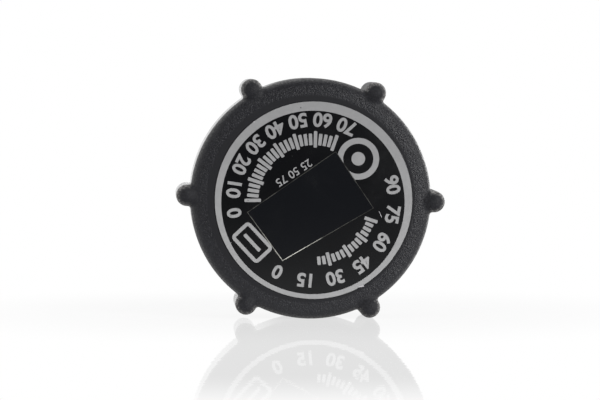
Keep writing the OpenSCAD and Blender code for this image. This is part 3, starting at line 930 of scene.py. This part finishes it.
def number(text, height, weight):
    bpy.ops.object.text_add(rotation=facing)
    letters = newest("number")
    letters.data.body = text
    letters.data.size = height / ink["digit"]
    letters.data.offset = weight
    letters.data.extrude = ink["t"] / 2
    letters.data.align_x, letters.data.align_y = "CENTER", "CENTER"
    letters.data.resolution_u = 6
    take(letters)
    bpy.ops.object.convert(target="MESH")
    return settle(bpy.context.active_object)


def alongArcs(name, build, *arcs):  # builds the marks of each arc and spaces them evenly along it
    parts = []
    for arc in arcs:
        step = (arc["last"] - arc["first"]) / (arc["count"] - 1)
        for i in range(arc["count"]):
            part = build(arc, i)
            part.data.transform(atLabel(arc["radius"], arc["first"] + step * i, arc["turn"]))
            parts.append(part)
    return joined(name, parts)


def buildNumbers():
    top = dict(texts="0 10 20 30 40 50 60 70".split(), count=8, first=189, last=66, radius=20.2 * mm,
               height=3.5 * mm, weight=0.15 * mm, turn=180)
    bottom = dict(texts="0 15 30 45 60 75 90".split(), count=7, first=-117, last=11, radius=19.8 * mm,
                  height=3.4 * mm, weight=0.15 * mm, turn=0)

    def build(arc, i):
        return number(arc["texts"][i], arc["height"], arc["weight"])

    return printed(outward(alongArcs("label_numbers", build, top, bottom)))


def buildBars():
    width, longEach = 0.85 * mm, 4
    top = dict(count=25, first=70, last=180, radius=15.15 * mm, long=4.1 * mm, short=2.9 * mm, turn=0)
    bottom = dict(count=15, first=-19, last=-85, radius=15.1 * mm, long=3.4 * mm, short=2.1 * mm, turn=0)

    def build(arc, i):
        return bar(width, arc["long"] if i % longEach == 0 else arc["short"], ink["corner"])

    return printed(alongArcs("label_bars", build, top, bottom))


def frameBand(width, length, corner, stroke):
    loops = []
    for inset in (0, stroke):
        edge = plank(width - 2 * inset, length - 2 * inset, max(corner - inset, ink["corner"]))
        editAll(edge)
        bpy.ops.mesh.delete(type="ONLY_FACE")
        endEdit()
        loops.append(edge)
    return between("frame_band", *loops)


def buildShapes():  # plain shapes between the arcs of the dial
    disc = dict(x=11.1 * mm, z=10.3 * mm, turn=0, r=5.2 * mm, stroke=1.45 * mm, dot=1.7 * mm, points=72)
    box = dict(x=-15.3 * mm, z=-10.5 * mm, turn=43, wide=6 * mm, long=9.4 * mm, corner=1.1 * mm,
               stroke=0.9 * mm, stripe=5.62 * mm)
    small = dict(x=-5 * mm, z=6.9 * mm, turn=213, text="25 50 75", height=2.1 * mm, weight=0.02 * mm)
    outer, inner = (loop(disc["points"], radius) for radius in (disc["r"], disc["r"] - disc["stroke"]))
    band = lay(between("band", outer, inner), disc)
    bpy.ops.mesh.primitive_circle_add(vertices=36, radius=disc["dot"], fill_type="NGON", rotation=facing)
    dot = lay(inkDepth(settle(newest("dot"))), disc)
    frameShape = lay(frameBand(box["wide"], box["long"], box["corner"], box["stroke"]), box)
    stripe = lay(bar(box["stroke"], box["stripe"], ink["corner"]), box)
    digits = lay(number(small["text"], small["height"], small["weight"]), small)
    return printed(joined("label_shapes", [band, dot, frameShape, stripe, digits]))


def buildFlakes():  # a lifted flake on the ring, a scratch beside the patch and a speck at the label's edge
    flake = dict(x=11.95 * mm, z=-21.45 * mm, turn=12, wide=1.2 * mm, high=0.28 * mm)
    scratch = dict(x=16.6 * mm, z=-3.5 * mm, turn=-66, wide=1.7 * mm, high=0.12 * mm)
    speck = dict(x=-14.8 * mm, z=19.5 * mm, turn=-37, wide=0.3 * mm, high=0.2 * mm)
    corner, lift = 0.05 * mm, 0.02 * mm
    parts = [lay(bar(mark["wide"], mark["high"], corner), mark, lift) for mark in (flake, scratch, speck)]
    return dress(joined("label_flakes", parts), chippedFinish, "cap")


def buildPinhole():  # a spot where the ring's ink is missing
    spot = dict(x=-3.2 * mm, z=23.0 * mm, turn=20, wide=0.22 * mm, high=0.3 * mm, corner=0.09 * mm,
                lift=0.015 * mm)
    pinhole = lay(bar(spot["wide"], spot["high"], spot["corner"]), spot, spot["lift"])
    pinhole.name = "label_pinhole"
    return dress(pinhole, filmFinish, "cap")


buildRing()
buildNumbers()
buildBars()
buildShapes()
buildFlakes()
buildPinhole()
print("label built")


# Patch: a piece of black tape, cut by hand

patch = dict(
    top=(5.5, 12.2), left=(-16.6, -2.95), bottom=(-7.75, -15.1), right=(15.0, -2.0),  # in millimetres
    t=0.09 * mm, hem=0.18 * mm, crown=0.01 * mm, leastFace=100 * mm * mm,
)


def patchCorner(side):  # a corner lies right of and above the label's middle
    x, z = patch[side]
    return Vector((labelX + x * mm, inkFace, labelZ + z * mm))


def buildPatch():
    bpy.ops.mesh.primitive_circle_add(vertices=4, radius=1, fill_type="NGON", rotation=facing)
    tape = settle(newest("tape_patch"))
    for vertex, side in zip(tape.data.vertices, ("top", "left", "bottom", "right")):
        vertex.co = patchCorner(side)
    editAll(tape)
    bpy.ops.mesh.extrude_region_move(TRANSFORM_OT_translate={"value": (0, -patch["t"], 0)})
    bpy.ops.mesh.inset(thickness=patch["hem"])
    bpy.ops.transform.translate(value=(0, -patch["crown"], 0))
    endEdit()
    dress(smooth(outward(tape), angle=20), tapeFinish, "cap")
    # the hem faces take the cut edge's painted glint
    tape.data.materials.append(cutEdge(patchCorner("bottom")))
    for face in tape.data.polygons:
        face.material_index = 0 if face.area > patch["leastFace"] else 1
    return tape


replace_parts(buildPatch(), "cover_patch")
print("patch built")


# Springs: smooth coils, with closed ends ground flat

coils = dict(closedPitch=1.05, tip=0.15)  # of both springs' closed ends, as shares of the wire
pressureCoil = dict(wire=1.2 * mm, turns=4.8, closed=0.9, rings=40, sides=16)
vacuumCoil = dict(wire=0.4 * mm, turns=3.6, closed=0.8, rings=36, sides=12)


def coil(name, node, values):
    low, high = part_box(node)
    wireR, rings = values["wire"] / 2, round(values["rings"] * values["turns"])
    radius = (high.x - low.x) / 2 - wireR
    bpy.ops.mesh.primitive_circle_add(vertices=values["sides"], radius=wireR, location=(radius, 0, 0))
    spring = settle(newest(name))
    apart = 10 * wireR  # the rings start well apart along Y, so that each point's ring is known
    modify(spring, "SCREW", axis="Y", angle=2 * math.pi * values["turns"], steps=rings,
           render_steps=rings, screw_offset=apart * rings, use_smooth_shade=True)
    dead = values["closed"] / values["turns"]
    rise = coils["closedPitch"] * values["wire"] * values["closed"]
    tip = coils["tip"] * values["wire"]
    for vertex in spring.data.vertices:
        ring = round(vertex.co.y / apart)
        part = min(ring, rings - ring) / rings
        if part < dead:
            level = tip + rise * part / dead
        else:
            level = tip + rise
            level += ((high.y - low.y) / 2 - level) * (part - dead) / (0.5 - dead)
        centre = low.y + level if ring < rings / 2 else high.y - level
        vertex.co.y = min(max(centre + vertex.co.y - ring * apart, low.y), high.y)
    editAll(spring)
    bpy.ops.mesh.fill_holes(sides=0)
    endEdit()
    return smooth(outward(spring), angle=50)


largeSpring = coil("pressure_coil", "pressure_spring", pressureCoil)
dress(largeSpring, steelFinish, "insert")
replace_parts(largeSpring, "pressure_spring")
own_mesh(largeSpring)

smallSpring = coil("vacuum_coil", "vacuum_spring", vacuumCoil)
dress(smallSpring, steelFinish, "pressure_valve")
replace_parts(smallSpring, "vacuum_spring")
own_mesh(smallSpring)
print("springs wound")


# Stage: a white floor with a faint mirror near the cap, a studio that is bright behind the cap and dark
# in front of it, and three soft lamps

floor = dict(
    size=8.0, z=cadBox[0].z, mirror=0.24, mirrored=(0.19, 0.29), shadow=0.12, shadowed=(0.04, 0.12), matt=0.9,
    dim=0.1, dimmed=(-0.1, 0.0),  # how dimly it glows in front of the cap, other than to the camera
    ripple=60.0, rippled=(0.4, 3.0, 1.0), rippleDepth=0.01 * mm, bounce=0.6,
)


def mixedShaders(tree, factor, first, second):
    node = put(tree, "ShaderNodeMixShader")
    wire(tree, factor, node.inputs[0])
    wire(tree, first.outputs[0], node.inputs[1])
    wire(tree, second.outputs[0], node.inputs[2])
    return node


def matte(tree, tone):
    return put(tree, "ShaderNodeBsdfDiffuse", inputs={"Color": (tone, tone, tone, 1)})


def floorMirror(tree, place):
    stretched = put(tree, "ShaderNodeMapping", inputs={"Scale": floor["rippled"]})
    wire(tree, place, stretched.inputs[0])
    ripples = noise(tree, stretched.outputs[0], floor["ripple"], detail=3.0)
    mirror = put(tree, "ShaderNodeBsdfGlossy", inputs={"Color": (1, 1, 1, 1), "Roughness": 0.0})
    bumped(tree, mirror, ripples, floor["rippleDepth"])
    return mirror


def floorMaterial():
    material = bpy.data.materials.new("floor")
    material.use_nodes = True
    tree = material.node_tree
    tree.nodes.remove(tree.nodes["Principled BSDF"])
    path = put(tree, "ShaderNodeLightPath").outputs
    place = put(tree, "ShaderNodeTexCoord").outputs["Object"]
    fromCap = lengthOf(tree, place)
    ahead = stretch(tree, partsOf(tree, place)["Y"], *floor["dimmed"], floor["dim"], 1.0)
    glow = put(tree, "ShaderNodeEmission", inputs={"Color": (1, 1, 1, 1)})
    wire(tree, math2(tree, "MAXIMUM", ahead, path["Is Camera Ray"]), glow.inputs["Strength"])
    close = stretch(tree, fromCap, *floor["shadowed"], 1.0, 0.0)
    base = mixedShaders(tree, times(tree, close, floor["shadow"]), glow, matte(tree, floor["matt"]))
    near = stretch(tree, fromCap, *floor["mirrored"], 1.0, 0.0)
    seen = mixedShaders(tree, times(tree, near, floor["mirror"]), base, floorMirror(tree, place))
    shown = math2(tree, "MAXIMUM", path["Is Camera Ray"], path["Is Glossy Ray"])
    shown = math2(tree, "MAXIMUM", shown, path["Is Transmission Ray"])
    final = mixedShaders(tree, shown, matte(tree, floor["bounce"]), seen)
    wire(tree, final.outputs[0], tree.nodes["Material Output"].inputs["Surface"])
    return material


bpy.ops.mesh.primitive_plane_add(size=floor["size"], location=(0, 0, floor["z"]))
floorPlane = newest("floor")
dress(floorPlane, floorMaterial())

studio = dict(front=0.06, turned=(-0.55, 0.3), ambient=0.42)


def whiteWorld():
    world = bpy.data.worlds.new("studio")
    bpy.context.scene.world = world
    world.use_nodes = True
    tree = world.node_tree
    way = partsOf(tree, put(tree, "ShaderNodeTexCoord").outputs["Generated"])
    surround = stretch(tree, way["Y"], *studio["turned"], studio["front"], 1.0)
    path = put(tree, "ShaderNodeLightPath").outputs
    level = put(tree, "ShaderNodeMix", data_type="FLOAT")
    wire(tree, math2(tree, "MAXIMUM", path["Is Glossy Ray"], path["Is Transmission Ray"]), level.inputs[0])
    level.inputs[2].default_value = studio["ambient"]
    wire(tree, surround, level.inputs[3])
    straight = math2(tree, "MAXIMUM", path["Is Camera Ray"], path["Is Singular Ray"])
    shade = tree.nodes["Background"]
    shade.inputs["Color"].default_value = (1, 1, 1, 1)
    wire(tree, math2(tree, "MAXIMUM", level.outputs[0], straight), shade.inputs["Strength"])


whiteWorld()

lamps = dict(  # place, size and power
    key_lamp=((0.88, -1.02, 0.36), 0.45, 11.0),
    fill_lamp=((-0.8, -0.7, 0.3), 0.7, 2.0),
    back_lamp=((0.75, 1.15, 0.12), 0.6, 4.5),
)


def softLamp(name, place, size, power):
    bpy.ops.object.light_add(type="AREA", location=place)
    lamp = newest(name)
    lamp.data.shape = "DISK"
    lamp.data.size = size
    lamp.data.energy = power
    lamp.rotation_euler = (-Vector(place)).to_track_quat("-Z", "Y").to_euler()


for lampName, values in lamps.items():
    softLamp(lampName, *values)
print("stage set")


# Camera, a little to the left and above, nearly a metre away

camera = dict(yaw=2.5, pitch=2.0, distance=0.95, frontY=-0.021, sensor=36, clipEnd=50,
              picturePx=(600, 400), centrePx=(310.6, 198.5), pxPerMm=4.013)


def setCamera():
    yaw, pitch = math.radians(camera["yaw"]), math.radians(camera["pitch"])
    back = Vector((-math.sin(yaw) * math.cos(pitch), -math.cos(yaw) * math.cos(pitch), math.sin(pitch)))
    front = Vector((0, camera["frontY"], 0))
    aside = Vector((math.cos(yaw), -math.sin(yaw), 0))
    perPx = mm / camera["pxPerMm"]
    right, down = (centre - size / 2 for centre, size in zip(camera["centrePx"], camera["picturePx"]))
    aim = front - aside * right * perPx + Vector((0, 0, 1)) * down * perPx
    bpy.ops.object.camera_add(location=front + back * camera["distance"])
    view = newest("camera")
    view.rotation_euler = (aim - view.location).to_track_quat("-Z", "Y").to_euler()
    view.data.sensor_width = camera["sensor"]
    view.data.lens = camera["sensor"] * camera["distance"] / (camera["picturePx"][0] * perPx)
    view.data.clip_end = camera["clipEnd"]
    bpy.context.scene.camera = view


setCamera()
bpy.context.scene.view_settings.view_transform = "Standard"
print("camera set")
